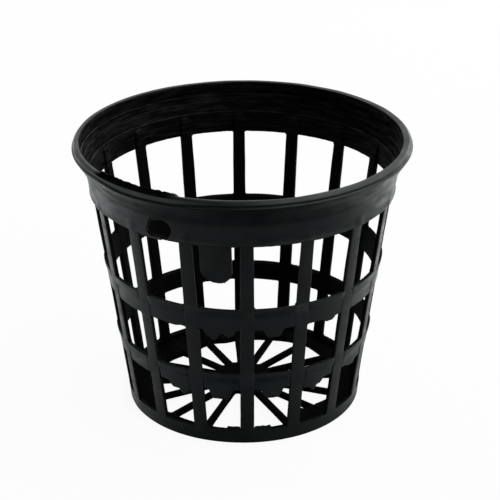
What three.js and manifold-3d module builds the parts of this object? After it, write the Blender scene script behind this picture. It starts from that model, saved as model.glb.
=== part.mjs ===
// A round net pot for growing plants in water: a tapered basket of upright ribs and two hoops,
// with a flared collar and lip on top and a spoked floor below, moulded in black plastic.
// Millimetres, +Z up. The origin is on the ground at the centre of the foot, and rib 1 faces -Y.
import * as THREE from "three";
import { mergeVertices } from "three/addons/utils/BufferGeometryUtils.js";
import Module from "manifold-3d";

// Main sizes
const potHeight = 75.4;
const lipDiameter = 90;
const footDiameter = 64;
const wallThickness = 1.25;

// Bands, from the ground to the top of the lip. The three rows of windows share the height that the bands leave.
const footHeight = 4.1;
const lowerHoopHeight = 5.5;
const upperHoopHeight = 6.8;
const collarHeight = 10.9;
const lipHeight = 3.1;
const lowerWindowShare = 0.2856;
const middleWindowShare = 0.2989;

// Ribs and hoops. A rib crosses a hoop by a half lap, with the rib on the outside,
// and its head runs up a shallow slot inside the collar.
const ribCount = 16;
const ribWidth = 3.7;
const ribSideDraft = 0.3; // how much narrower a rib is on the inside
const ribEdgeRound = 0.2;
const ribLapDepth = 0.6; // what is left of a rib where a hoop passes behind it
const ribHeadHeight = 4.9;
const ribHeadSetback = 0.55; // how far the head lies behind the rib's outer face
const hoopTopProud = 0.2; // how far a hoop's upper edge stands out past the ribs
const hoopLean = 0.3; // how far its lower edge lies inside its upper edge
const hoopEdgeRound = 0.25;
const upperLobeDrop = 2.1; // flash under a hoop in the two windows at the front
const lowerLobeDrop = 2.5;
const lobeFade = 0.5; // and its share of that in the next two

// Collar and lip
const collarOverhang = 0.6; // the collar starts this far outside the ribs' outer faces
const collarFlare = 3.4;
const flarePower = 2.2;
const collarWall = 1.2;
const stepHeight = 2.5; // the inner steps that pots stack on
const stepDepth = 0.3;
const lipReach = 0.6; // how far the lip stands out past the collar
const lipWall = 1.15;
const lipRound = 0.55;
const ridgeHeight = 0.3; // the fine ridge round the lip's lower edge
const ridgeReach = 0.15;

// Tongue that hangs from the collar, and the port through the collar beside it
const tongueWidth = 7.8;
const tongueShare = 0.585; // how much of the upper window's height the tongue hangs down
const tongueRound = 2.8;
const tongueThickness = 1;
const tongueSetback = 0.1;
const portWidth = 7;
const portHeight = 4.6;
const portRise = 0.7;

// Floor
const floorLift = 0.7;
const floorThickness = 1.5;
const flangeWidth = 4;
const flangeWeb = 3; // how far the flange runs in between the spokes at the back, less and less towards the front
const hubDiameter = 16.6;
const hubEdgeRound = 0.3;
const spokeWidth = 1.8;
const spokeFillet = 0.6;

// Clearance between pieces that sit against each other, and how finely round forms are cut
const seatGap = 0.1;
const collarFacets = 64;
const facetsPerWindow = 6;

// Levels and radii that follow from the sizes
const windowsHeight =
  potHeight - footHeight - lowerHoopHeight - upperHoopHeight - collarHeight - lipHeight;
const lowerHoopBottom = footHeight + lowerWindowShare * windowsHeight;
const lowerHoopTop = lowerHoopBottom + lowerHoopHeight;
const upperHoopBottom = lowerHoopTop + middleWindowShare * windowsHeight;
const upperHoopTop = upperHoopBottom + upperHoopHeight;
const lipTop = potHeight;
const collarTop = lipTop - lipHeight;
const collarBottom = collarTop - collarHeight;
const floorTop = floorLift + floorThickness;
const footRadius = footDiameter / 2;
const lipRadius = lipDiameter / 2;
const flangeRadius = footRadius - flangeWidth;
const spokeEndWidth = spokeWidth + 2 * spokeFillet;
const wallTopRadius = lipRadius - lipReach - collarFlare - collarOverhang;
const wallSlope = (wallTopRadius - footRadius) / collarBottom;
const ribPitch = (2 * Math.PI) / ribCount;
const wallFacets = ribCount * facetsPerWindow;
const wallFacetHalf = Math.PI / wallFacets;

const wallRadius = (height) => footRadius + wallSlope * height;

function collarRadius(height) {
  const rise = Math.max(0, height - collarBottom) / collarHeight;
  return wallTopRadius + collarOverhang + collarFlare * rise ** flarePower;
}

// 0 across a bar and 1 midway between two bars, for the soft lobes of the moulded edges
function windowSwell(azimuth, radius, barWidth) {
  const share = azimuth / ribPitch - Math.floor(azimuth / ribPitch);
  const flat = (barWidth / 2 + seatGap) / (ribPitch * radius) + 0.5 / facetsPerWindow;
  const inside = THREE.MathUtils.clamp((share - flat) / (1 - 2 * flat), 0, 1);
  return Math.sin(Math.PI * inside) ** 2;
}

// Share of the full flash by how many windows an azimuth is away from the front
function flashShare(azimuth) {
  const windowsAway = Math.floor(Math.abs(azimuth) / ribPitch);
  return windowsAway > 1 ? 0 : lobeFade ** windowsAway;
}

const wasm = await Module();
wasm.setup();

function toSolid(geometry) {
  const bare = geometry.clone();
  bare.deleteAttribute("normal");
  bare.deleteAttribute("uv");
  const merged = mergeVertices(bare, 1e-4);
  return new wasm.Manifold(
    new wasm.Mesh({
      numProp: 3,
      vertProperties: merged.attributes.position.array,
      triVerts: new Uint32Array(merged.index.array),
    }),
  );
}

function toGeometry(solid) {
  const { vertProperties, triVerts } = solid.getMesh();
  const geometry = new THREE.BufferGeometry();
  geometry.setAttribute("position", new THREE.BufferAttribute(vertProperties, 3));
  geometry.setIndex(new THREE.BufferAttribute(triVerts, 1));
  return geometry;
}

// One copy of a solid on every rib, joined
function onEveryRib(geometry) {
  const copies = Array.from({ length: ribCount }, (_, i) =>
    toSolid(geometry.clone().rotateZ(i * ribPitch)),
  );
  return copies.reduce((all, copy) => all.add(copy));
}

// A ring turned from a closed [radius, height] section, with a facet facing each rib
function turned(section, facets) {
  const points = [...section, section[0]].map(([r, z]) => new THREE.Vector2(r, z));
  const ring = new THREE.LatheGeometry(points, facets, Math.PI / facets);
  return ring.rotateX(Math.PI / 2);
}

// Moves each vertex of a ring by a rule on its radius, height and azimuth from -Y
function reshape(ring, rule) {
  const position = ring.attributes.position;
  for (let i = 0; i < position.count; i++) {
    const azimuth = Math.atan2(position.getX(i), -position.getY(i));
    const radius = Math.hypot(position.getX(i), position.getY(i));
    const [r, z] = rule(radius, position.getZ(i), azimuth);
    position.setXYZ(i, r * Math.sin(azimuth), -r * Math.cos(azimuth), z);
  }
  return ring;
}

// A side view drawn as [depth behind the wall line, height], made width thick and set at the front wall
function onWall(outline, width, edge = 0) {
  const shape = new THREE.Shape(outline.map(([depth, z]) => new THREE.Vector2(depth, z)));
  const body = new THREE.ExtrudeGeometry(shape, {
    depth: width - 2 * edge,
    bevelEnabled: edge > 0,
    bevelThickness: edge,
    bevelSize: edge,
    bevelOffset: -edge,
    bevelSegments: 1,
  });
  const middle = edge - width / 2;
  return body.applyMatrix4(
    new THREE.Matrix4().set(
      0, 0, 1, middle,
      1, -wallSlope, 0, -footRadius,
      0, 1, 0, 0,
      0, 0, 0, 1,
    ),
  );
}

const block = (depthA, depthB, low, high) => [
  [depthA, low],
  [depthB, low],
  [depthB, high],
  [depthA, high],
];

function ribGeometry() {
  const notch = (bottom, top) => [
    [wallThickness, top + seatGap],
    [ribLapDepth, top + seatGap],
    [ribLapDepth, bottom - seatGap],
    [wallThickness, bottom - seatGap],
  ];
  const outline = [
    [0, footHeight + seatGap],
    [0, collarBottom - seatGap],
    [ribHeadSetback, collarBottom - seatGap],
    [ribHeadSetback, collarBottom + ribHeadHeight],
    [wallThickness, collarBottom + ribHeadHeight],
    ...notch(upperHoopBottom, upperHoopTop),
    ...notch(lowerHoopBottom, lowerHoopTop),
    [wallThickness, footHeight + seatGap],
  ].reverse();
  const rib = onWall(outline, ribWidth, ribEdgeRound);
  const position = rib.attributes.position;
  for (let i = 0; i < position.count; i++) {
    const depth = wallRadius(position.getZ(i)) + position.getY(i);
    const narrowing = (ribSideDraft * depth) / wallThickness / ribWidth;
    position.setX(i, position.getX(i) * (1 - narrowing));
  }
  return rib;
}

// A hoop with flash along its lower edge at the front and a channel on the outside for each rib
function hoopGeometry(bottom, top, lobeDrop) {
  const outer = (z) => wallRadius(z) + hoopTopProud - (hoopLean * (top - z)) / (top - bottom);
  const inner = (z) => wallRadius(z) - wallThickness;
  const ring = turned(
    [
      [outer(bottom) - hoopEdgeRound, bottom],
      [outer(bottom + hoopEdgeRound), bottom + hoopEdgeRound],
      [outer(top - hoopEdgeRound), top - hoopEdgeRound],
      [outer(top) - hoopEdgeRound, top],
      [inner(top), top],
      [inner(bottom), bottom],
    ],
    wallFacets,
  );
  const middle = (bottom + top) / 2;
  reshape(ring, (r, z, azimuth) => {
    const swell = flashShare(azimuth) * windowSwell(azimuth, r, ribWidth);
    const drop = z < middle ? lobeDrop * swell : 0;
    return [r - drop * wallSlope, z - drop];
  });
  const channel = onWall(
    block(-2 * wallThickness, ribLapDepth + seatGap, bottom - lobeDrop, top + lobeDrop),
    ribWidth + 2 * seatGap,
  );
  return toGeometry(toSolid(ring).subtract(onEveryRib(channel)));
}

function collarGeometry() {
  const rises = [0, 0.12, 0.25, 0.37, 0.5, 0.62, 0.75, 0.88, 1];
  const outside = rises.map((share) => {
    const z = collarBottom + share * collarHeight;
    return [collarRadius(z), z];
  });
  const inside = [collarTop, collarTop - stepHeight, collarTop - 2 * stepHeight].flatMap((z, i) => {
    const radius = collarRadius(z) - collarWall;
    return i === 0 ? [[radius, z]] : [[radius + stepDepth, z], [radius, z]];
  });
  const shell = turned(
    [...outside, ...inside, [collarRadius(collarBottom) - collarWall, collarBottom]],
    collarFacets,
  );

  const headSlot = onWall(
    block(
      ribHeadSetback - seatGap,
      3 * wallThickness,
      collarBottom - ribHeadHeight,
      collarBottom + ribHeadHeight + seatGap,
    ),
    ribWidth + 2 * seatGap,
  );

  const portRound = portHeight / 2;
  const portSide = portWidth / 2 - portRound;
  const portOutline = new THREE.Shape()
    .absarc(portSide, portRound, portRound, -Math.PI / 2, Math.PI / 2, false)
    .absarc(-portSide, portRound, portRound, Math.PI / 2, (3 * Math.PI) / 2, false);
  const port = new THREE.ExtrudeGeometry(portOutline, {
    depth: lipRadius,
    bevelEnabled: false,
    curveSegments: 6,
  })
    .rotateX(Math.PI / 2)
    .translate(0, -collarRadius(collarBottom) / 2, collarBottom + portRise)
    .rotateZ(-1.5 * ribPitch);

  return toGeometry(toSolid(shell).subtract(onEveryRib(headSlot)).subtract(toSolid(port)));
}

// The lip stands on the collar, with a fine ridge round its lower edge and a rounded crest
function lipGeometry() {
  const bandRadius = lipRadius - ridgeReach;
  const innerRadius = bandRadius - lipWall;
  const ridgeBottom = collarTop + lipReach;
  const roundLow = lipTop - lipRound;
  const roundCentre = bandRadius - lipRound;
  const arc = [0, 0.25, 0.5, 0.75, 1].map((share) => {
    const turn = (share * Math.PI) / 2;
    return [roundCentre + lipRound * Math.cos(turn), roundLow + lipRound * Math.sin(turn)];
  });
  return turned(
    [
      [collarRadius(collarTop), collarTop],
      [lipRadius, ridgeBottom],
      [lipRadius, ridgeBottom + ridgeHeight],
      [bandRadius, ridgeBottom + 2 * ridgeHeight],
      ...arc,
      [innerRadius + lipRound / 2, lipTop],
      [innerRadius, lipTop - lipRound / 2],
      [innerRadius, collarTop],
    ],
    collarFacets,
  );
}

function footGeometry() {
  const ring = turned(
    [
      [footRadius, 0],
      [wallRadius(footHeight), footHeight],
      [wallRadius(footHeight) - wallThickness, footHeight],
      [wallRadius(floorTop) - wallThickness, floorTop],
      [flangeRadius, floorTop],
      [flangeRadius, floorLift],
      [wallRadius(floorLift) - wallThickness, floorLift],
      [footRadius - wallThickness, 0],
    ],
    wallFacets,
  );
  const wallInside = (flangeRadius + footRadius - wallThickness) / 2;
  return reshape(ring, (r, z, azimuth) => {
    const web = r < wallInside ? (flangeWeb * (1 - Math.cos(azimuth))) / 2 : 0;
    return [r - web * windowSwell(azimuth, r, spokeEndWidth), z];
  });
}

function hubGeometry() {
  const outline = Array.from({ length: wallFacets }, (_, i) => {
    const azimuth = (2 * i + 1) * wallFacetHalf;
    const radius = hubDiameter / 2 - hubEdgeRound;
    return new THREE.Vector2(radius * Math.sin(azimuth), -radius * Math.cos(azimuth));
  });
  return new THREE.ExtrudeGeometry(new THREE.Shape(outline), {
    depth: floorThickness - 2 * hubEdgeRound,
    bevelThickness: hubEdgeRound,
    bevelSize: hubEdgeRound,
    bevelSegments: 1,
  }).translate(0, 0, floorLift + hubEdgeRound);
}

// A floor spoke from the hub to the flange, spread by fillets where it meets the flange
function spokeGeometry() {
  const start = -(hubDiameter / 2) * Math.cos(wallFacetHalf) - seatGap;
  const end = -flangeRadius * Math.cos(wallFacetHalf) + seatGap;
  const half = spokeWidth / 2;
  const wide = spokeEndWidth / 2;
  const filletStart = end + 2 * spokeFillet;
  const plan = new THREE.Shape();
  plan.moveTo(-half, start);
  plan.lineTo(-half, filletStart);
  plan.quadraticCurveTo(-half, end, -wide, end);
  plan.lineTo(wide, end);
  plan.quadraticCurveTo(half, end, half, filletStart);
  plan.lineTo(half, start);
  return new THREE.ExtrudeGeometry(plan, {
    depth: floorThickness,
    bevelEnabled: false,
    curveSegments: 3,
  }).translate(0, 0, floorLift);
}

// A tongue with a rounded end that hangs from the collar in the middle of a window
function tongueGeometry() {
  const half = tongueWidth / 2;
  const top = collarBottom - seatGap;
  const roundCentre = collarBottom - tongueShare * (collarBottom - upperHoopTop) + tongueRound;
  const side = half - tongueRound;
  const outline = new THREE.Shape()
    .moveTo(half, top)
    .lineTo(-half, top)
    .absarc(-side, roundCentre, tongueRound, Math.PI, 1.5 * Math.PI, false)
    .absarc(side, roundCentre, tongueRound, 1.5 * Math.PI, 2 * Math.PI, false);
  const plate = new THREE.ExtrudeGeometry(outline, {
    depth: tongueThickness,
    bevelEnabled: false,
    curveSegments: 6,
  });
  const innerFace = footRadius - tongueSetback - tongueThickness;
  return plate.applyMatrix4(
    new THREE.Matrix4().set(
      1, 0, 0, 0,
      0, -wallSlope, -1, -innerFace,
      0, 1, 0, 0,
      0, 0, 0, 1,
    ),
  );
}

const pot = new THREE.Group();

function addPiece(name, geometry, turn = 0) {
  const blackPlastic = new THREE.MeshStandardMaterial({
    color: 0x17191a,
    roughness: 0.38,
    metalness: 0,
  });
  const piece = new THREE.Mesh(geometry, blackPlastic);
  piece.name = name;
  piece.rotation.z = turn;
  pot.add(piece);
}

const numbered = (name, i) => `${name}_${String(i + 1).padStart(2, "0")}`;

addPiece("lip", lipGeometry());
addPiece("collar", collarGeometry());
addPiece("upper_hoop", hoopGeometry(upperHoopBottom, upperHoopTop, upperLobeDrop));
addPiece("lower_hoop", hoopGeometry(lowerHoopBottom, lowerHoopTop, lowerLobeDrop));
addPiece("foot_ring", footGeometry());
addPiece("hub", hubGeometry());
addPiece("tongue", tongueGeometry(), -0.5 * ribPitch);
for (let i = 0; i < ribCount; i++) {
  addPiece(numbered("rib", i), ribGeometry(), i * ribPitch);
  addPiece(numbered("spoke", i), spokeGeometry(), i * ribPitch);
}

export default pot;
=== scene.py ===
import math

import bmesh
import bpy
from mathutils import Matrix, Vector


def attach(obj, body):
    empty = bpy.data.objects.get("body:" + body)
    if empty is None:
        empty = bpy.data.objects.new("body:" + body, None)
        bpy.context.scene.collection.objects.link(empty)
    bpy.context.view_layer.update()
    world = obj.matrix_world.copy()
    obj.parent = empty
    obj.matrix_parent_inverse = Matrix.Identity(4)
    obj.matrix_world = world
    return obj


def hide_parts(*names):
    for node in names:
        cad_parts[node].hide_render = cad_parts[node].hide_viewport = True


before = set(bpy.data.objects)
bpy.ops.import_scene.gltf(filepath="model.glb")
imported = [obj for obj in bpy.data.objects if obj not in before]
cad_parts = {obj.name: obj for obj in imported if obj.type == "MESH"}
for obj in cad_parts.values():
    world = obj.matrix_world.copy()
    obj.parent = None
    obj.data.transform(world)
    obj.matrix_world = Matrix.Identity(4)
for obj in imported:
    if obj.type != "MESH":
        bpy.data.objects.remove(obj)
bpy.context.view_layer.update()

mm = 0.001  # sizes are in millimetres unless a note says metres
weld = 0.001  # vertices closer than this become one

pot = {
    "ribs": 16,
    "columns": 384,  # vertices round a ring, 24 to a window
    "footRadius": 31.96,
    "wallSlope": 0.1377,  # how far the wall leans out per unit of height
    "wall": 1.2,
}
ribStep = 360 / pot["ribs"]
column = 360 / pot["columns"]  # degrees


def wallRadius(height):
    return pot["footRadius"] + pot["wallSlope"] * height


def offRib(azimuth):  # degrees to the nearest rib
    return abs((azimuth + ribStep / 2) % ribStep - ribStep / 2)


def spread(first, last, count):  # evenly spaced values
    return [first + (last - first) * i / (count - 1) for i in range(count)]


def between(points, place):  # the value at a place along a list of places and values
    for (p0, v0), (p1, v1) in zip(points, points[1:]):
        if place <= p1:
            return v0 + (v1 - v0) * max(0.0, place - p0) / (p1 - p0)
    return points[-1][1]


def filletSteps(radius, distances):  # how far a fillet spreads at each distance from the face that it meets
    return [(d, radius - math.sqrt(radius ** 2 - (radius - d) ** 2)) for d in distances]


def numbered(word, i):
    return f"{word}_{i + 1:02d}"


# Helpers for edit mode

def startPiece(name):  # names the active object and opens it with everything selected
    piece = bpy.context.object
    piece.name = piece.data.name = name
    bpy.ops.object.mode_set(mode="EDIT")
    bpy.ops.mesh.select_mode(type="VERT")
    bpy.ops.mesh.select_all(action="SELECT")
    return piece


def selectOnly(piece):
    bpy.ops.object.select_all(action="DESELECT")
    piece.select_set(True)
    bpy.context.view_layer.objects.active = piece


def pickAll():
    bpy.ops.mesh.select_all(action="SELECT")


def pick(test):  # selects the vertices whose radius, height and azimuth pass the test
    bpy.ops.mesh.select_mode(type="VERT")
    bpy.ops.mesh.select_all(action="DESELECT")
    data = bpy.context.object.data
    mesh = bmesh.from_edit_mesh(data)
    for vert in mesh.verts:
        x, y, z = vert.co / mm
        vert.select_set(bool(test(math.hypot(x, y), z, math.degrees(math.atan2(x, -y)))))
    mesh.select_flush(True)
    bmesh.update_edit_mesh(data)


def pickFlat(test):  # selects by x and y
    pick(lambda r, z, a: test(r * math.sin(math.radians(a)), -r * math.cos(math.radians(a))))


def softly(reach):  # settings by which a move takes along what lies within reach
    if reach == 0:
        return {}
    return {
        "use_proportional_edit": True,
        "proportional_edit_falloff": "SMOOTH",
        "proportional_size": reach * mm,
    }


def pull(value, reach=0):  # moves the selection
    bpy.ops.transform.translate(value=[v * mm for v in value], **softly(reach))


def swell(share, reach=0):  # moves the selection out from the axis, or in if share is under 1
    bpy.ops.transform.resize(value=(share, share, 1), center_override=(0, 0, 0), **softly(reach))


def stretch(x, y, z, centre=(0, 0, 0)):  # scales the selection along each axis
    bpy.ops.transform.resize(value=(x, y, z), center_override=[c * mm for c in centre])


def turn(degrees, axis, centre=(0, 0, 0)):  # with no window the operator turns the other way
    bpy.ops.transform.rotate(
        value=-math.radians(degrees), orient_axis=axis, center_override=[c * mm for c in centre])


def extrude(value):
    bpy.ops.mesh.extrude_region_move(TRANSFORM_OT_translate={"value": [v * mm for v in value]})


def roundCorners(offset, segments):
    bpy.ops.mesh.bevel(offset=offset * mm, segments=segments, affect="VERTICES")


def softenEdges(offset, sharpest=40):  # rounds every edge that is sharper than so many degrees
    bpy.ops.mesh.select_mode(type="EDGE")
    bpy.ops.mesh.select_all(action="DESELECT")
    bpy.ops.mesh.edges_select_sharp(sharpness=math.radians(sharpest))
    bpy.ops.mesh.bevel(offset=offset * mm, segments=3, profile=0.5, affect="EDGES", clamp_overlap=True)


def shake(offset, seed):  # moves the selected vertices a little at random
    bpy.ops.transform.vertex_random(offset=offset * mm, seed=seed)


def mendMesh():
    pickAll()
    bpy.ops.mesh.remove_doubles(threshold=weld * mm)
    bpy.ops.mesh.normals_make_consistent(inside=False)


def turnRing(name, section):  # a circle extruded and scaled from point to point of its section, and closed
    radius, height = section[0]
    bpy.ops.object.select_all(action="DESELECT")
    bpy.ops.mesh.primitive_circle_add(vertices=pot["columns"], radius=radius * mm, fill_type="NOTHING")
    ring = startPiece(name)
    pull((0, 0, height))
    for nextRadius, nextHeight in section[1:] + section[:1]:
        rise = (nextHeight - height) * mm
        bpy.ops.mesh.extrude_edges_move(TRANSFORM_OT_translate={"value": (0, 0, rise)})
        swell(nextRadius / radius)
        radius, height = nextRadius, nextHeight
    mendMesh()
    return ring


def closePiece(piece):
    mendMesh()
    bpy.ops.object.mode_set(mode="OBJECT")
    return piece


def copyRound(piece, name, degrees):  # a copy with its own mesh, turned about the axis
    selectOnly(piece)
    bpy.ops.object.duplicate(linked=False)
    twin = startPiece(name)
    turn(degrees, "Z")
    bpy.ops.object.mode_set(mode="OBJECT")
    return twin


moulding = {
    "waveLength": 9.0,  # no moulded wall is quite true
    "waveHeight": 0.16,
    "smoothAngle": 40,  # degrees, an edge sharper than this stays crisp
}
mouldWaves = bpy.data.textures.new("mouldWaves", "CLOUDS")
mouldWaves.noise_scale = moulding["waveLength"] * mm
mouldWaves.noise_depth = 1


def finishPiece(piece, node):
    selectOnly(piece)
    waves = piece.modifiers.new("mouldWaves", "DISPLACE")
    waves.texture = mouldWaves
    waves.texture_coords = "LOCAL"
    waves.strength = moulding["waveHeight"] * mm
    waves.mid_level = 0.5
    bpy.ops.object.modifier_apply(modifier=waves.name)
    bpy.ops.object.shade_smooth_by_angle(angle=math.radians(moulding["smoothAngle"]))
    piece.data.materials.append(polypropylene)
    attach(piece, "root")
    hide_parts(node)


# Nodes of materials, floor and sky

smooth = {"interpolation_type": "SMOOTHSTEP"}
times = {"operation": "MULTIPLY"}
plus = {"operation": "ADD"}
larger = {"operation": "MAXIMUM"}
length = {"operation": "LENGTH"}
numberMix = (0, 2, 3)  # a Mix node's sockets for its share and its two numbers
colourMix = (0, 6, 7)  # and for its share and its two colours


def linear(hexColour):  # an sRGB hex value as linear RGBA
    parts = [int(hexColour[i:i + 2], 16) / 255 for i in (1, 3, 5)]
    return [p / 12.92 if p <= 0.04045 else ((p + 0.055) / 1.055) ** 2.4 for p in parts] + [1.0]


def addNode(tree, kind, settings=None, inputs=()):  # inputs in the order of the sockets, or by their names
    node = tree.nodes.new("ShaderNode" + kind)
    for name, value in (settings or {}).items():
        setattr(node, name, value)
    pairs = inputs.items() if isinstance(inputs, dict) else enumerate(inputs)
    for socket, value in pairs:
        if isinstance(value, bpy.types.NodeSocket):
            tree.links.new(value, node.inputs[socket])
        else:
            node.inputs[socket].default_value = value
    return node


plastic = {
    "tones": [(0.3, "#050607"), (0.75, "#0d0f10")],  # the drift of the pigment, from dark to pale
    "paintedShade": "#020202",  # painted shade: nearly black on the inside, the pot's floor, the tops of hoops and foot and the torn skin
    "ior": 1.49,
    "gloss": 0.5,
    "shadeGloss": 0.055,
    "shadeRough": 0.75,
    "matteShare": 0.35,  # painted shade: share of the gloss that is left on the floor and on the torn skin
    "patterns": {  # size in mm, stretch along x, y and z, detail, roughness of the noise
        "drift": (7.0, (1, 1, 1), 3.0, 0.55),
        "flow": (2.2, (0.4, 0.4, 1.3), 2.0, 0.5),  # the flow lines of the mould
        "lines": (0.8, (0.12, 0.12, 1), 2.0, 0.5),  # fine lines that run round inside the collar
        # the eroded mould face, in truth about 0.05: drawn coarser so that it shows
        "grain": (0.45, (1, 1, 1), 2.0, 0.6),
    },
    "flowBump": (0.12, 0.2),  # strength, and depth in mm
    "grainBump": (0.18, 0.06),
    "collarInside": (60.5 * mm, 62.5 * mm),  # heights between which the gloss turns to lines
    "ramps": {  # each runs smoothly from one place or slope to another: first, last, value at each
        "inwards": (0.3, -0.2, 0.0, 1.0),  # faces that look towards the axis
        "upwards": (0.25, 0.55, 0.0, 1.0),
        "level": (0.75, 0.95, 0.0, 1.0),
        "overhang": (-0.4, -0.15, 0.3, 1.0),  # faces that look downwards, the flare among them, keep less gloss
        "basket": (65.5 * mm, 66.0 * mm, 1.0, 0.0),  # below the steps inside the collar
        "steps": (65.5 * mm, 66.0 * mm, 0.0, 1.0),
        "lipTop": (74.2 * mm, 74.6 * mm, 0.0, 1.0),
        "floorTop": (5.0 * mm, 4.0 * mm, 0.0, 1.0),
        "insideWall": (31.6 * mm, 31.0 * mm, 0.0, 1.0),
        "tornAcross": (-21.0 * mm, -16.5 * mm, 1.0, 0.0),  # the torn skin on the lip
        "tornAway": (-22.0 * mm, -26.0 * mm, 0.0, 1.0),
        "tornUp": (74.6 * mm, 74.9 * mm, 0.0, 1.0),
        "litStretches": (0.42, 0.6, 0.4, 0.95),  # painted highlight: how much of a step's top is lit, in stretches by the drift
        "rough": (0.3, 0.7, 0.34, 0.5),  # by the flow lines
        "lined": (0.42, 0.66, 0.035, 0.15),  # the gloss inside the collar, by the fine lines
    },
}


# Moulded black polypropylene: satin, faintly cloudy outside; rougher inside, darkened and dulled by painted
# shade
def makePolypropylene():
    material = bpy.data.materials.new("mouldedBlackPolypropylene")
    material.use_nodes = True
    tree = material.node_tree
    tree.nodes.clear()
    place = addNode(tree, "TexCoord").outputs["Object"]
    pattern = {}
    for name, (size, along, detail, fine) in plastic["patterns"].items():
        spot = addNode(tree, "Mapping", inputs={"Vector": place, "Scale": along}).outputs[0]
        pattern[name] = addNode(tree, "TexNoise", inputs={
            "Vector": spot, "Scale": 1 / (size * mm), "Detail": detail, "Roughness": fine}).outputs["Fac"]
    cloudy = addNode(tree, "ValToRGB", inputs=[pattern["drift"]])
    for stop, (position, tone) in zip(cloudy.color_ramp.elements, plastic["tones"]):
        stop.position = position
        stop.color = linear(tone)

    axes = addNode(tree, "SeparateXYZ", inputs=[place]).outputs
    flat = addNode(tree, "CombineXYZ", inputs=[axes["X"], axes["Y"]]).outputs[0]
    outwards = addNode(tree, "VectorMath", {"operation": "NORMALIZE"}, [flat]).outputs["Vector"]
    reach = addNode(tree, "VectorMath", length, [flat]).outputs["Value"]
    normal = addNode(tree, "NewGeometry").outputs["Normal"]
    facing = addNode(tree, "VectorMath", {"operation": "DOT_PRODUCT"}, [normal, outwards]).outputs["Value"]
    rising = addNode(tree, "SeparateXYZ", inputs=[normal]).outputs["Z"]
    reads = {
        "inwards": facing, "upwards": rising, "level": rising, "overhang": rising, "basket": axes["Z"],
        "steps": axes["Z"], "lipTop": axes["Z"], "floorTop": axes["Z"], "insideWall": reach,
        "tornAcross": axes["X"], "tornAway": axes["Y"], "tornUp": axes["Z"],
        "litStretches": pattern["drift"], "rough": pattern["flow"], "lined": pattern["lines"],
    }
    ramp = {}
    for name, value in reads.items():
        ramp[name] = addNode(tree, "MapRange", smooth, [value, *plastic["ramps"][name]]).outputs[0]

    # painted shade: the mask is 1 on faces that look towards the axis, on the floor, on the tops of hoops
    # and foot and on the torn skin, and 0 on the outside; there the plastic is darker and duller
    tops = addNode(tree, "Math", times, [ramp["upwards"], ramp["basket"]]).outputs[0]  # of hoops and foot
    # painted highlight: the level tops of the steps, in stretches, and the top of the lip all round take
    # back the outside's lighter tone and gloss
    litSteps = addNode(tree, "Math", times, [ramp["litStretches"], ramp["steps"]]).outputs[0]
    litTops = addNode(tree, "Math", larger, [litSteps, ramp["lipTop"]]).outputs[0]
    ledges = addNode(tree, "Math", times, [ramp["level"], litTops]).outputs[0]
    unlitInwards = addNode(tree, "Math", {"operation": "SUBTRACT"}, [ramp["inwards"], ledges]).outputs[0]
    inner = addNode(tree, "Math", {"operation": "ADD", "use_clamp": True}, [unlitInwards, tops]).outputs[0]
    onFloor = addNode(tree, "Math", times, [ramp["floorTop"], ramp["insideWall"]]).outputs[0]
    tornSpan = addNode(tree, "Math", times, [ramp["tornAcross"], ramp["tornAway"]]).outputs[0]
    torn = addNode(tree, "Math", times, [tornSpan, ramp["tornUp"]]).outputs[0]
    matte = addNode(tree, "Math", larger, [onFloor, torn]).outputs[0]
    paintedShade = addNode(tree, "Math", larger, [inner, matte]).outputs[0]

    shadeGloss = addNode(tree, "MapRange", smooth, [
        axes["Z"], *plastic["collarInside"], plastic["shadeGloss"], ramp["lined"]]).outputs[0]
    fullGloss = addNode(tree, "MapRange", smooth, [paintedShade, 0.0, 1.0, plastic["gloss"], shadeGloss]).outputs[0]
    share = addNode(tree, "MapRange", smooth, [matte, 0.0, 1.0, 1.0, plastic["matteShare"]]).outputs[0]
    gloss = addNode(tree, "Math", times, [fullGloss, share]).outputs[0]
    sheen = addNode(tree, "Math", times, [gloss, ramp["overhang"]]).outputs[0]
    roughEnds = (paintedShade, ramp["rough"], plastic["shadeRough"])
    rough = addNode(tree, "Mix", {"data_type": "FLOAT"}, dict(zip(numberMix, roughEnds))).outputs[0]
    # painted shade: where the mask is 1 the pigment gives way to the nearly black shade colour
    tintEnds = (paintedShade, cloudy.outputs["Color"], linear(plastic["paintedShade"]))
    tint = addNode(tree, "Mix", {"data_type": "RGBA"}, dict(zip(colourMix, tintEnds))).outputs[2]
    strength, depth = plastic["flowBump"]
    flowing = addNode(tree, "Bump", inputs={
        "Height": pattern["flow"], "Strength": strength, "Distance": depth * mm}).outputs["Normal"]
    strength, depth = plastic["grainBump"]
    grainy = addNode(tree, "Bump", inputs={
        "Height": pattern["grain"], "Strength": strength, "Distance": depth * mm, "Normal": flowing})
    skin = addNode(tree, "BsdfPrincipled", inputs={
        "Base Color": tint, "Roughness": rough, "Specular IOR Level": sheen, "IOR": plastic["ior"],
        "Normal": grainy.outputs["Normal"]})
    addNode(tree, "OutputMaterial", inputs={"Surface": skin.outputs["BSDF"]})
    return material


polypropylene = makePolypropylene()
print("material ready")


# The lip, with a fine ridge and a groove above it

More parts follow.
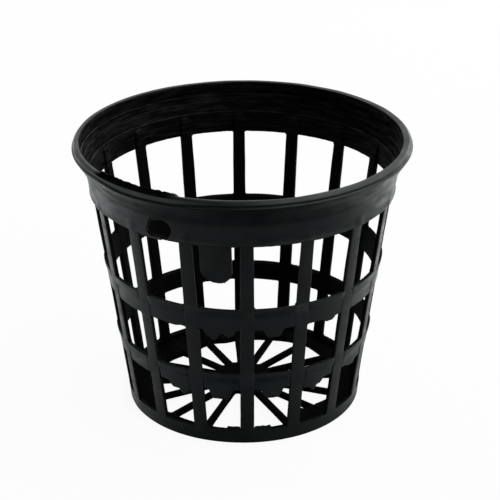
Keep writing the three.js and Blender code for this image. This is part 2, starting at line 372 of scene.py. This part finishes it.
lip = {
    "section": [  # radius and height, up the outside, over the crest and down the inside
        (44.45, 72.35), (44.7, 72.7), (44.9, 73.02), (45.06, 73.3), (45.17, 73.47), (45.22, 73.6),
        (45.2, 73.71), (45.12, 73.78), (44.98, 73.82), (44.84, 73.87), (44.78, 73.95), (44.8, 74.06),
        (44.87, 74.2), (44.92, 74.35), (44.92, 74.5), (44.87, 74.66), (44.78, 74.83), (44.64, 75.01),
        (44.46, 75.19), (44.3, 75.31), (44.16, 75.37), (44.02, 75.38), (43.85, 75.36), (43.65, 75.31),
        (43.45, 75.23), (43.28, 75.12), (43.14, 74.98), (43.06, 74.82), (43.04, 74.6), (43.05, 74.0),
        (43.08, 73.3), (43.14, 72.7), (43.2, 72.2), (43.5, 71.95), (44.2, 72.05),
    ],
    "ridgeRadius": 44.7,  # the ridge and its groove lie outside this
    "ridgeLow": 73.2,
    "ridgeHigh": 74.3,
    "sagFrom": -54,  # azimuths between which they hang lower
    "sagTo": -13,
    "sagInsets": (0, 3, 6, 9),  # degrees from either end where they sink by one step more
    "sagStep": 0.2,
    "sagReach": 0.8,
    "innerRadius": 43.0,
    "innerFace": 43.55,  # what lies inside this radius and above this height is its inner face
    "innerLow": 72.6,
    "rightGain": 0.6,  # the top is broader on the right
    "tornFrom": -56,  # azimuths of the torn skin along the inner edge
    "tornTo": -23,
    "tornRadius": 44.0,
    "tornLow": 75.0,
    "tornRise": 0.6,
    "tornReach": 0.3,
    "tornRough": 0.3,
    "tornSeed": 21,
    "rootRadius": 44.5,  # the root of that skin
    "rootLow": 74.9,
    "rootRough": 0.15,
    "rootSeed": 22,
}


def onRidge(radius, height):
    return radius > lip["ridgeRadius"] and lip["ridgeLow"] < height < lip["ridgeHigh"]


def isTorn(azimuth):
    return lip["tornFrom"] < azimuth < lip["tornTo"]


def makeLip(name):
    piece = turnRing(name, lip["section"])
    for inset in lip["sagInsets"]:
        pick(lambda r, z, a: onRidge(r, z) and lip["sagFrom"] + inset < a < lip["sagTo"] - inset)
        pull((0, 0, -lip["sagStep"]), lip["sagReach"])
    pick(lambda r, z, a: a > 0 and r < lip["innerFace"] and z > lip["innerLow"])
    stretch(1 - lip["rightGain"] / lip["innerRadius"], 1, 1)
    pick(lambda r, z, a: r < lip["tornRadius"] and z > lip["tornLow"] and isTorn(a))
    pull((0, 0, lip["tornRise"]), lip["tornReach"])
    shake(lip["tornRough"], lip["tornSeed"])
    pick(lambda r, z, a: r < lip["rootRadius"] and z > lip["rootLow"] and isTorn(a))
    shake(lip["rootRough"], lip["rootSeed"])
    return closePiece(piece)


finishPiece(makeLip("lipRim"), "lip")
print("lip done")


# The collar and the port through it

collar = {
    "outside": [  # a skirt that stands a little outside the ribs, then flares to the lip
        (40.72, 61.4), (40.92, 61.44), (41.04, 61.56), (41.07, 61.74), (41.03, 61.95), (41.0, 62.25),
        (41.0, 62.7), (41.04, 63.2), (41.12, 63.8), (41.24, 64.4), (41.36, 65.0), (41.46, 65.6),
        (41.55, 66.2), (41.66, 66.8), (41.8, 67.4), (41.99, 68.0), (42.25, 68.6), (42.56, 69.2),
        (42.88, 69.8), (43.21, 70.4), (43.55, 71.0), (43.9, 71.6), (44.25, 72.1), (44.45, 72.35),
    ],
    "inside": [  # down the inside, with fine stacking steps
        (43.35, 72.3), (43.14, 71.86), (43.12, 71.82), (42.76, 71.78), (42.3, 70.05), (42.27, 70.0),
        (42.08, 69.97), (40.98, 67.3), (40.95, 67.24), (40.58, 67.2), (40.25, 65.0), (39.95, 63.0),
        (39.8, 61.4),
    ],
    "insideRow": 0.5,  # about the height of a row of its faces
    "edge": 0.12,
    "edgeAngle": 50,
    "bumpWidth": 2.6,  # where a rib's head presses through to the outside
    "bumpRise": 0.2,
    "bumpReach": 1.0,
    "bumpLow": 61.9,
    "bumpHigh": 64.4,
    "bumpRadius": 40.6,  # the bumps are on faces outside this radius
    "skirtRadius": 41.0,
    "stripFrom": -39.5,  # azimuths of the strip under the port, which hangs lower
    "stripTo": -32.5,
    "stripTop": 61.6,
    "stripDrop": 0.35,
    "stripReach": 1.2,
    "hem": 61.5,
    "hemRough": 0.05,
    "hemSeed": 3,
    "stepsLow": 66.9,  # from here up the inside has its steps
    "stepsRadius": 40.6,
    "stepsSlope": 0.6,
    "stepsLimit": 43.75,
    "stepsRough": 0.03,
    "stepsSeed": 4,
}
port = {
    "azimuth": -32.2,
    "width": 7.1,
    "height": 4.9,
    "corners": 64,
    "middle": (40.6, 64.45),  # radius and height
    "lean": 10,
    "pulls": [  # a part of the outline in x and in y (9 is beyond it), how it moves, and how softly
        ((-9, -1.2), (0.6, 9), (0.5, -0.6), 2.2),  # its far upper corner is cut off
        ((0.8, 2.4), (-9, -1.5), (0, -0.4), 1.0),  # and it runs down nearly to the edge below
        ((-9, -1.4), (-9, -0.6), (-0.5, -0.3), 1.5),
    ],
    "sides": [  # depth, outwards from the middle, with its size there
        (-3.0, 1.3), (-0.85, 1.12), (-0.6, 1.05), (-0.3, 1.0), (0.1, 1.0), (0.3, 1.01), (0.5, 1.04),
        (0.7, 1.08), (0.95, 1.12), (3.0, 1.12),
    ],
    "mouth": 0.6,  # depth from which the edge rounds into it softly
    "mouthAngle": 95,  # degrees from straight down, the upper part of the mouth
    "mouthRise": 0.8,
    "mouthLift": 0.3,
    "mouthReach": 0.7,
}


def collarSection():
    inside = []
    corners = collar["inside"]
    for (r0, z0), (r1, z1) in zip(corners, corners[1:]):
        rows = max(2, round(math.hypot(r1 - r0, z1 - z0) / collar["insideRow"]) + 1)
        inside += list(zip(spread(r0, r1, rows), spread(z0, z1, rows)))[:-1]
    return collar["outside"] + inside + [corners[-1]]


def onBump(radius, height, azimuth):
    outside = collar["bumpLow"] < height < collar["bumpHigh"] and radius > collar["bumpRadius"]
    return outside and math.radians(offRib(azimuth)) * radius < collar["bumpWidth"] / 2


def onSteps(radius, height):
    rise = height - collar["stepsLow"]
    inside = radius < collar["stepsRadius"] + collar["stepsSlope"] * rise
    return rise > 0 and inside and radius < collar["stepsLimit"]


def makePlug(name):  # a rounded plug with a waist, in the shape of the port
    bpy.ops.object.select_all(action="DESELECT")
    bpy.ops.mesh.primitive_circle_add(
        vertices=port["corners"], radius=port["height"] / 2 * mm, fill_type="NGON")
    plug = startPiece(name)
    half = (port["width"] - port["height"]) / 2
    pick(lambda r, z, a: 1 < a < 179)  # the right half, and then the left, move apart
    pull((half, 0, 0))
    pick(lambda r, z, a: -179 < a < -1)
    pull((-half, 0, 0))
    for (left, right), (low, high), (across, up), reach in port["pulls"]:
        pickFlat(lambda x, y: left < x < right and low < y < high)
        pull((across, up, 0), reach)
    pickAll()
    depth, size = port["sides"][0]
    pull((0, 0, depth))
    stretch(size, size, 1)
    for nextDepth, nextSize in port["sides"][1:]:
        extrude((0, 0, nextDepth - depth))
        stretch(nextSize / size, nextSize / size, 1)
        depth, size = nextDepth, nextSize
    pick(lambda r, z, a: z > port["mouth"] and abs(a) > port["mouthAngle"])
    pull((0, port["mouthRise"], 0), port["mouthReach"])
    pick(lambda r, z, a: z > port["mouth"])
    pull((0, port["mouthLift"], 0), port["mouthReach"])
    pickAll()
    turn(90 + port["lean"], "X")
    radius, height = port["middle"]
    pull((0, -radius, height))
    turn(port["azimuth"], "Z")
    return closePiece(plug)


def cutPort(piece):
    plug = makePlug("portPlug")
    selectOnly(piece)
    cut = piece.modifiers.new("port", "BOOLEAN")
    cut.object = plug
    cut.operation = "DIFFERENCE"
    cut.solver = "EXACT"
    bpy.ops.object.modifier_apply(modifier=cut.name)
    bpy.data.objects.remove(plug)


def makeCollar(name):
    piece = turnRing(name, collarSection())
    softenEdges(collar["edge"], collar["edgeAngle"])
    pick(onBump)
    swell(1 + collar["bumpRise"] / collar["skirtRadius"], collar["bumpReach"])
    pick(lambda r, z, a: z < collar["stripTop"] and collar["stripFrom"] < a < collar["stripTo"])
    pull((0, 0, -collar["stripDrop"]), collar["stripReach"])
    pick(lambda r, z, a: z < collar["hem"])
    shake(collar["hemRough"], collar["hemSeed"])
    pick(lambda r, z, a: onSteps(r, z))
    shake(collar["stepsRough"], collar["stepsSeed"])
    closePiece(piece)
    cutPort(piece)
    return piece


finishPiece(makeCollar("collarBand"), "collar")
print("collar done")


# The two hoops, with skins of flash left under their edges

upperHoop = {
    "bottom": 35.9,
    "top": 42.7,
    "lobes": [  # a skin of flash: azimuth, half width, drop and how softly it begins
        (-32, 1.6, 0.3, 1.5), (-14.5, 1.0, 1.9, 1.5), (-11.0, 1.6, 1.1, 1.5), (-7.0, 0.8, 1.9, 1.5),
        # painted shade: the broad lobe at -143.5 is a sheet behind the port, so that the port shows dark
        (11.0, 1.9, 2.2, 1.5), (36, 1.4, 0.9, 1.5), (-152.5, 0.8, 1.4, 1.5), (-143.5, 2.7, 3.2, 3.0),
    ],
    "seed": 5,
}
lowerHoop = {
    "bottom": 17.0,
    "top": 22.4,
    "lobes": [
        (-31.5, 2.0, 1.6, 1.5), (-27, 1.5, 1.6, 1.5), (-11.6, 2.1, 2.7, 1.5), (11.2, 2.0, 2.5, 1.5),
        (28.5, 1.7, 1.5, 1.5), (33, 1.5, 1.4, 1.5), (56, 1.5, 0.8, 1.5),
    ],
    "seed": 6,
}
bothHoops = {
    "proud": [  # depth under the top edge, and how far it stands off the wall there
        (0.0, 0.1), (0.4, 0.2), (1.2, 0.18), (2.4, 0.0), (3.4, -0.1),
    ],
    "outerRows": 17,
    "innerRows": 11,
    "innerDrop": 0.5,  # the top falls inwards
    "innerEase": 0.06,
    "edge": 0.22,
    "lobeRoot": 0.5,  # a lobe is drawn from so far above the lower edge
    "sinkDepth": 0.5,
    "sinkHalf": 1.75,  # half the width that is sunk below the faces of the ribs
    "sink": 0.3,
    "rough": 0.07,
    "roughBand": 0.1,
}


def makeHoop(name, node, hoop):
    low, high = hoop["bottom"], hoop["top"]
    outer = spread(low, high, bothHoops["outerRows"])
    inner = spread(high - bothHoops["innerDrop"], low, bothHoops["innerRows"])
    outside = [(wallRadius(z) + between(bothHoops["proud"], high - z), z) for z in outer]
    inside = [(wallRadius(z) - pot["wall"] + bothHoops["innerEase"], z) for z in inner]
    piece = turnRing(name, outside + inside)
    softenEdges(bothHoops["edge"])
    root = low + bothHoops["lobeRoot"]
    for azimuth, half, drop, reach in hoop["lobes"]:
        pick(lambda r, z, a: z < root and abs(a - azimuth) * math.radians(r) < half)
        pull((0, 0, -drop), reach)
    sinkDepth, sinkHalf = bothHoops["sinkDepth"], bothHoops["sinkHalf"]
    pick(lambda r, z, a: r > wallRadius(z) - sinkDepth and math.radians(offRib(a)) * r < sinkHalf)
    swell(1 - bothHoops["sink"] / wallRadius((low + high) / 2))
    pick(lambda r, z, a: z < low + bothHoops["roughBand"])
    shake(bothHoops["rough"], hoop["seed"])
    finishPiece(closePiece(piece), node)


makeHoop("upperHoopBand", "upper_hoop", upperHoop)
makeHoop("lowerHoopBand", "lower_hoop", lowerHoop)
print("hoops done")


# The ribs, which spread in a small fillet where they meet a ring

rib = {
    "width": 3.65,
    "topWidth": 3.5,
    "narrowing": (45, 61),  # heights between which it narrows to that
    "innerShare": 0.92,  # the mould's draft narrows a rib on the inside
    "depth": 1.25,
    "outerEdge": (0.25, 4),  # how far its corners are rounded, and in how many steps
    "innerEdge": (0.4, 5),
    "fillet": 0.35,
    "filletSteps": (0.0, 0.04, 0.12, 0.22, 0.35),
    "bands": [  # where it runs into the rings
        (3.6, 3.9),
        (lowerHoop["bottom"], lowerHoop["top"]),
        (upperHoop["bottom"], upperHoop["top"]),
        (61.4, 65.4),
    ],
    "bandRows": 11,  # between two rings
    "overlap": 0.1,
    "neck": [62.5, 64.0, 65.4],
    "head": [  # it rounds off inside the collar: height, share of width, share of depth
        (65.6, 0.97, 0.98), (66.0, 0.87, 0.93), (66.3, 0.68, 0.83), (66.5, 0.4, 0.68),
    ],
}


def ribWidth(height):
    first, last = rib["narrowing"]
    return between([(0, rib["width"]), (first, rib["width"]), (last, rib["topWidth"])], height)


def ribLevels():  # heights with widths
    fillet, bands = rib["fillet"], rib["bands"]
    steps = filletSteps(fillet, rib["filletSteps"])
    levels = []
    for (lowA, highA), (lowB, _) in zip(bands, bands[1:]):
        levels += [(lowA, 0.0)] + [(highA + d, extra) for d, extra in steps]
        levels += [(z, 0.0) for z in spread(highA + fillet, lowB - fillet, rib["bandRows"])[1:-1]]
        levels += [(lowB - d, extra) for d, extra in reversed(steps)] + [(lowB + rib["overlap"], 0.0)]
    levels += [(z, 0.0) for z in rib["neck"]]
    return [(z, ribWidth(z) + 2 * extra) for z, extra in sorted(set(levels))]


def makeRib(name):
    levels = ribLevels()
    height, width = levels[0]
    bpy.ops.object.select_all(action="DESELECT")
    bpy.ops.mesh.primitive_plane_add(size=1 * mm)
    piece = startPiece(name)
    stretch(width, rib["depth"], 1)
    pickFlat(lambda x, y: y > 0)
    stretch(rib["innerShare"], 1, 1)
    roundCorners(*rib["innerEdge"])
    pickFlat(lambda x, y: y < -0.4 * rib["depth"])  # the two outer corners
    roundCorners(*rib["outerEdge"])
    pickAll()
    pull((0, rib["depth"] / 2 - wallRadius(height), height))
    for nextHeight, nextWidth in levels[1:]:
        rise = nextHeight - height
        extrude((0, -rise * pot["wallSlope"], rise))
        stretch(nextWidth / width, 1, 1)
        height, width = nextHeight, nextWidth
    share, depth = 1.0, 1.0
    for nextHeight, nextShare, nextDepth in rib["head"]:
        rise = nextHeight - height
        extrude((0, -rise * pot["wallSlope"], rise))
        stretch(nextShare / share, nextDepth / depth, 1, (0, -wallRadius(nextHeight), 0))
        height, share, depth = nextHeight, nextShare, nextDepth
    return closePiece(piece)


firstRib = makeRib(numbered("ribBar", 0))
otherRibs = [copyRound(firstRib, numbered("ribBar", i), i * ribStep) for i in range(1, pot["ribs"])]
for i, piece in enumerate([firstRib] + otherRibs):
    finishPiece(piece, numbered("rib", i))
print("ribs done")


# The foot ring, with the flange of the floor

foot = {
    "top": 3.8,
    "tilt": 0.2,  # degrees, its top stands higher at the front
    "tiltFrom": 3.0,
    "spread": [(0.0, 0.1), (1.5, 0.05), (3.0, 0.0)],  # height, and how far the wall spreads there
    "innerDrop": 0.45,  # the top falls inwards
    "wallRows": (9, 5),  # outside and inside
    "flangeRows": 7,
    "floorTop": 2.5,
    "floorLow": 1.0,
    "flange": 28.3,
    "rim": 0.25,  # the flange's rim is so broad
    "webs": [  # azimuth and radius of the flange's uneven inner edge
        (-180, 24.2), (-168, 23.0), (-157, 23.8), (-146, 22.6), (-129, 23.0), (-122, 23.9), (-112, 24.5),
        (-101, 25.0), (-90, 24.9), (-76, 24.6), (-64, 26.6), (-57, 28.3), (-30, 28.3), (-18, 29.3),
        (18, 29.3), (24, 28.3), (28, 26.0), (32, 23.7), (39.6, 23.7), (42, 24.6), (45, 25.0), (50.5, 25.1),
        (59, 26.2), (75, 26.0), (90, 26.2), (114, 26.0), (127, 26.5), (136, 27.1), (150, 26.3), (165, 25.0),
        (180, 24.2),
    ],
    "webLimit": 28.2,  # what reaches further in than this is web
    "webRough": 0.06,
    "webSeed": 8,
    "flash": [(-9.5, -3.5), (3.5, 11.5)],  # azimuths of the ragged skin on its front edge
    "flashRoot": 0.6,  # it is drawn from so far below the top
    "flashRadius": 30.8,
    "flashRise": 1.1,
    "flashReach": 0.4,
    "flashRough": 0.2,
    "flashSeed": 9,
    "edge": 0.12,
    "sole": 0.15,  # what lies lower than this is pressed flat
}


def makeFoot(name):
    top, flange = foot["top"], foot["flange"]
    outerRows, innerRows = foot["wallRows"]
    soleRadius = wallRadius(0) - pot["wall"]
    outside = [(wallRadius(z) + between(foot["spread"], z), z) for z in spread(0, top, outerRows)]
    inner = spread(top - foot["innerDrop"], foot["floorTop"], innerRows)
    inside = [(wallRadius(z) - pot["wall"], z) for z in inner]
    over = [(r, foot["floorTop"]) for r in spread(inside[-1][0], flange, foot["flangeRows"])[1:]]
    under = [(r, foot["floorLow"]) for r in spread(flange, soleRadius, foot["flangeRows"])]
    piece = turnRing(name, outside + inside + over + under + [(soleRadius, 0)])
    softenEdges(foot["edge"])
    rim = flange + foot["rim"]
    for i in range(pot["columns"] // 2):  # two columns of vertices at a time
        azimuth = -180 + 2 * column * i
        radius = between(foot["webs"], azimuth)
        if radius != flange:
            start = azimuth - 1.5 * column
            pick(lambda r, z, a: r < rim and (a - start) % 360 < 2 * column)
            swell(radius / flange)
    pick(lambda r, z, a: z > foot["tiltFrom"])
    turn(-foot["tilt"], "X", (0, 0, top))
    for first, last in foot["flash"]:
        pick(lambda r, z, a: z > top - foot["flashRoot"] and r > foot["flashRadius"] and first < a < last)
        pull((0, 0, foot["flashRise"]), foot["flashReach"])
        shake(foot["flashRough"], foot["flashSeed"])
    pick(lambda r, z, a: r < foot["webLimit"])
    shake(foot["webRough"], foot["webSeed"])
    return closePiece(piece)


def standFlat(piece):
    bpy.ops.object.mode_set(mode="EDIT")
    pick(lambda r, z, a: z < foot["sole"])
    stretch(1, 1, 0)
    bpy.ops.object.mode_set(mode="OBJECT")


footPiece = makeFoot("footRing")
finishPiece(footPiece, "foot_ring")
standFlat(footPiece)
print("foot ring done")


# The floor: a hub and sixteen spokes, a little askew in the wall

hub = {
    "radius": 8.0,
    "inset": 1.6,
    "edge": 0.3,
    "low": 1.0,
    "high": 2.5,
}
spoke = {
    "width": 1.8,
    "endGain": 1.2,  # so much wider at its outer end
    "edge": (0.3, 3),  # how far its corners are rounded, and in how many steps
    "fillet": 0.7,
    "filletSteps": (0.7, 0.5, 0.3, 0.12, 0.0),
    "start": 7.6,
    "straight": (10.0, 26.0, 10),  # from, to and rows
    "end": 30.2,
    "low": 1.02,
    "high": 2.48,
}
askew = {
    "turn": 1.65,  # degrees
    "shift": (-0.45, 0.4, 0.0),
}


def makeHub(name):
    bpy.ops.object.select_all(action="DESELECT")
    bpy.ops.mesh.primitive_circle_add(vertices=pot["columns"], radius=hub["radius"] * mm, fill_type="NGON")
    piece = startPiece(name)
    pull((0, 0, hub["low"]))
    bpy.ops.mesh.inset(thickness=hub["inset"] * mm)
    pickAll()
    extrude((0, 0, hub["high"] - hub["low"]))
    softenEdges(hub["edge"])
    pickAll()
    pull(askew["shift"])
    return closePiece(piece)


def addUpright(name):  # a square of one millimetre that faces the front
    bpy.ops.object.select_all(action="DESELECT")
    bpy.ops.mesh.primitive_plane_add(size=1 * mm, rotation=(math.radians(90), 0, 0))
    bpy.ops.object.transform_apply(location=False, rotation=True, scale=False)
    return startPiece(name)


def makeSpoke(name):
    piece = addUpright(name)
    stretch(spoke["width"], 1, spoke["high"] - spoke["low"])
    roundCorners(*spoke["edge"])
    pickAll()
    pull((0, -spoke["start"], (spoke["low"] + spoke["high"]) / 2))
    flare = filletSteps(spoke["fillet"], spoke["filletSteps"])
    steps = [(hub["radius"] + d, 2 * extra) for d, extra in reversed(flare)]
    steps += [(p, 0.0) for p in spread(*spoke["straight"])]
    steps += [(foot["flange"] - d, 2 * extra) for d, extra in flare]
    steps += [(spoke["end"], spoke["endGain"])]
    place, width = spoke["start"], spoke["width"]
    for nextPlace, extra in steps:
        nextWidth = spoke["width"] + extra
        extrude((0, place - nextPlace, 0))
        stretch(nextWidth / width, 1, 1)
        place, width = nextPlace, nextWidth
    return closePiece(piece)


def setAskew(piece):
    selectOnly(piece)
    startPiece(piece.name)
    turn(askew["turn"], "Z")
    pull(askew["shift"])
    bpy.ops.object.mode_set(mode="OBJECT")


finishPiece(makeHub("hubPlate"), "hub")
firstSpoke = makeSpoke(numbered("spokeBar", 0))
otherSpokes = [copyRound(firstSpoke, numbered("spokeBar", i), i * ribStep) for i in range(1, pot["ribs"])]
for i, piece in enumerate([firstSpoke] + otherSpokes):
    setAskew(piece)
    finishPiece(piece, numbered("spoke", i))
print("floor done")


# The tongue that hangs from the collar

tongue = {
    "width": 8.2,
    "thick": 0.9,
    "low": 50.2,
    "high": 62.2,
    "leftRound": (4.3, 16),  # how far the corner is rounded, and in how many steps
    "rightRound": (3.4, 16),
    "setback": 0.3,
    "edge": 0.2,
    "edgeAngle": 60,
    "azimuth": -11.45,
    "endRough": 0.12,  # the torn skin along its end
    "endSeed": 11,
}


def makeTongue(name):
    width, height = tongue["width"], tongue["high"] - tongue["low"]
    piece = addUpright(name)
    stretch(width, 1, height)
    pick(lambda r, z, a: z < 0 and a < 0)
    roundCorners(*tongue["leftRound"])
    pick(lambda r, z, a: z < -0.49 * height and a > 0 and r > 0.45 * width)  # the lower right corner
    roundCorners(*tongue["rightRound"])
    pick(lambda r, z, a: z < -0.3 * height)  # its end
    shake(tongue["endRough"], tongue["endSeed"])
    pickAll()
    extrude((0, tongue["thick"], 0))
    softenEdges(tongue["edge"], tongue["edgeAngle"])
    pickAll()
    turn(math.degrees(math.atan(pot["wallSlope"])), "X")
    middle = (tongue["low"] + tongue["high"]) / 2
    pull((0, tongue["setback"] - wallRadius(middle), middle))
    turn(tongue["azimuth"], "Z")
    return closePiece(piece)


finishPiece(makeTongue("tongueTab"), "tongue")
print("tongue done")


# The studio: camera, floor, sky and lamps

view = {
    "lens": 123.83,
    "sensor": 36,
    "eye": (-10.32, -426.65, 240.03),
    "pitch": 24.91,  # degrees
    "yaw": -1.64,
    "roll": -0.31,
    "clipStart": 10,
}
floor = {  # lengths in metres
    "size": 8.0,
    "colour": "#f2f2f0",
    "whiteShare": 0.93,  # the camera sees so much of it as plain white
    # tints of the painted reflection of the floor
    "nearTint": "#eff6fd",
    "farTint": "#fafffc",
    "shadowShift": (0, 0.015, 0),
    "shadowStretch": (1.35, 1, 1),
    "ramps": {  # painted reflection: what the plastic mirrors of it, glowing for reflected rays only, from one place to another: first, last, value at each
        "shadow": (0.018, 0.056, 0.2, 1.0),  # painted shadow of the pot itself
        "near": (-0.2, -0.06, 0.05, 0.245),  # the floor in front of the pot
        "nearLeft": (-0.08, -0.12, 1.0, 1.5),
        "nearSlant": (-0.1, 0.1, 1.1, 0.85),
        "far": (-0.06, 0.09, 0.0, 0.9),  # the floor behind it
        "farSlant": (-0.1, 0.05, 0.9, 1.5),
        "farRight": (0.08, 0.2, 1.0, 0.6),
        "wings": (0.15, 0.35, 0.0, 1.2),  # the floor far out at both sides
        "wingsFront": (0.0, -0.1, 0.0, 1.0),  # of the camera
    },
}
sky = {
    "tint": "#f7fcfb",
    "seen": "#ffffff",  # by the camera
    "ramps": {  # from one direction to another: first, last, brightness at each
        "back": (0.25, 0.85, 0.09, 0.88),  # the room is dark on the camera's side, and the backdrop pale
        "over": (0.6, 1.0, 0.0, 0.1),
        "left": (-0.3, -0.55, 0.0, 0.82),  # a pale screen on either side
        "right": (0.1, 0.4, 0.0, 2.1),
        "leftLow": (0.2, 0.4, 1.0, 0.0),  # the left one stands low
        "rightHigh": (0.0, 0.25, 0.0, 1.0),  # the right one hangs high
        "rightEnd": (0.3, 0.7, 1.0, 0.35),  # and is weaker behind the pot
    },
}
lamps = [  # name, place, size, watts
    ("topLamp", (0, 300, 560), 420, 0.5),
    ("rightLamp", (330, 420, 140), 260, 0.4),
]
lampTarget = (0, 0, 45)


def makeCamera():
    bpy.ops.object.camera_add()
    camera = bpy.context.object
    camera.name = "photoCamera"
    camera.data.lens = view["lens"]
    camera.data.sensor_width = view["sensor"]
    camera.data.sensor_fit = "HORIZONTAL"
    camera.data.clip_start = view["clipStart"] * mm
    camera.matrix_world = (
        Matrix.Translation([v * mm for v in view["eye"]])
        @ Matrix.Rotation(math.radians(view["yaw"]), 4, "Z")
        @ Matrix.Rotation(math.radians(90 - view["pitch"]), 4, "X")
        @ Matrix.Rotation(math.radians(view["roll"]), 4, "Z"))
    bpy.context.scene.camera = camera


def makeFloorPaint():
    material = bpy.data.materials.new("paleStudioFloor")
    material.use_nodes = True
    tree = material.node_tree
    tree.nodes.clear()
    path = addNode(tree, "LightPath").outputs
    place = addNode(tree, "TexCoord").outputs["Object"]
    axes = addNode(tree, "SeparateXYZ", inputs=[place]).outputs
    side = addNode(tree, "Math", {"operation": "ABSOLUTE"}, [axes["X"]]).outputs[0]
    oval = addNode(tree, "Mapping", inputs={
        "Vector": place, "Location": floor["shadowShift"], "Scale": floor["shadowStretch"]}).outputs[0]
    reach = addNode(tree, "VectorMath", length, [oval]).outputs["Value"]
    reads = {
        "shadow": reach, "near": axes["Y"], "nearLeft": axes["X"], "nearSlant": axes["X"], "far": axes["Y"],
        "farSlant": axes["X"], "farRight": axes["X"], "wings": side, "wingsFront": axes["Y"],
    }
    ramp = {}
    for name, value in reads.items():
        ramp[name] = addNode(tree, "MapRange", smooth, [value, *floor["ramps"][name]]).outputs[0]
    near, far = ramp["near"], ramp["far"]
    for name in ("nearLeft", "nearSlant", "shadow"):
        near = addNode(tree, "Math", times, [near, ramp[name]]).outputs[0]
    for name in ("farSlant", "farRight", "shadow"):
        far = addNode(tree, "Math", times, [far, ramp[name]]).outputs[0]
    wings = addNode(tree, "Math", times, [ramp["wings"], ramp["wingsFront"]]).outputs[0]
    beyond = addNode(tree, "Math", plus, [far, wings]).outputs[0]
    # painted reflection: for reflected rays the floor glows in these tints and strengths, with the pot's
    # painted shadow in them
    cool = addNode(tree, "Emission", inputs=[linear(floor["nearTint"]), near]).outputs[0]
    warm = addNode(tree, "Emission", inputs=[linear(floor["farTint"]), beyond]).outputs[0]
    mirrored = addNode(tree, "AddShader", inputs=[cool, warm]).outputs[0]
    paint = addNode(tree, "BsdfDiffuse", inputs=[linear(floor["colour"])]).outputs[0]
    white = addNode(tree, "Emission", inputs={"Strength": 1.0}).outputs[0]
    share = addNode(tree, "Math", times, [path["Is Camera Ray"], floor["whiteShare"]]).outputs[0]
    seen = addNode(tree, "MixShader", inputs=[share, paint, white]).outputs[0]
    both = addNode(tree, "MixShader", inputs=[path["Is Glossy Ray"], seen, mirrored]).outputs[0]
    addNode(tree, "OutputMaterial", inputs={"Surface": both})
    return material


def makeFloor():
    bpy.ops.object.select_all(action="DESELECT")
    bpy.ops.mesh.primitive_plane_add(size=floor["size"])
    plane = bpy.context.object
    plane.name = "studioFloor"
    plane.data.materials.append(makeFloorPaint())


def makeSky():
    world = bpy.data.worlds.new("studioSky")
    bpy.context.scene.world = world
    world.use_nodes = True
    tree = world.node_tree
    tree.nodes.clear()
    way = addNode(tree, "TexCoord").outputs["Generated"]
    axes = addNode(tree, "SeparateXYZ", inputs=[way]).outputs
    reads = {
        "back": axes["Y"], "over": axes["Z"], "left": axes["X"], "right": axes["X"], "leftLow": axes["Z"],
        "rightHigh": axes["Z"], "rightEnd": axes["Y"],
    }
    ramp = {}
    for name, value in reads.items():
        ramp[name] = addNode(tree, "MapRange", smooth, [value, *sky["ramps"][name]]).outputs[0]
    left = addNode(tree, "Math", times, [ramp["left"], ramp["leftLow"]]).outputs[0]
    hung = addNode(tree, "Math", times, [ramp["right"], ramp["rightHigh"]]).outputs[0]
    right = addNode(tree, "Math", times, [hung, ramp["rightEnd"]]).outputs[0]
    screens = addNode(tree, "Math", plus, [left, right]).outputs[0]
    around = addNode(tree, "Math", larger, [ramp["back"], screens]).outputs[0]
    level = addNode(tree, "Math", plus, [around, ramp["over"]]).outputs[0]
    camera = addNode(tree, "LightPath").outputs["Is Camera Ray"]
    levels = dict(zip(numberMix, (camera, level, 1.0)))
    strength = addNode(tree, "Mix", {"data_type": "FLOAT"}, levels).outputs[0]
    tints = dict(zip(colourMix, (camera, linear(sky["tint"]), linear(sky["seen"]))))
    tint = addNode(tree, "Mix", {"data_type": "RGBA"}, tints).outputs[2]
    background = addNode(tree, "Background", inputs=[tint, strength]).outputs[0]
    addNode(tree, "OutputWorld", inputs={"Surface": background})


def makeLamps():
    for name, place, size, watts in lamps:
        bpy.ops.object.light_add(type="AREA", location=[v * mm for v in place])
        lamp = bpy.context.object
        lamp.name = name
        lamp.data.size = size * mm
        lamp.data.energy = watts
        aim = Vector([v * mm for v in lampTarget]) - lamp.location
        lamp.rotation_euler = aim.to_track_quat("-Z", "Y").to_euler()


makeCamera()
makeFloor()
makeSky()
makeLamps()
bpy.context.scene.view_settings.view_transform = "Standard"
print("studio done")
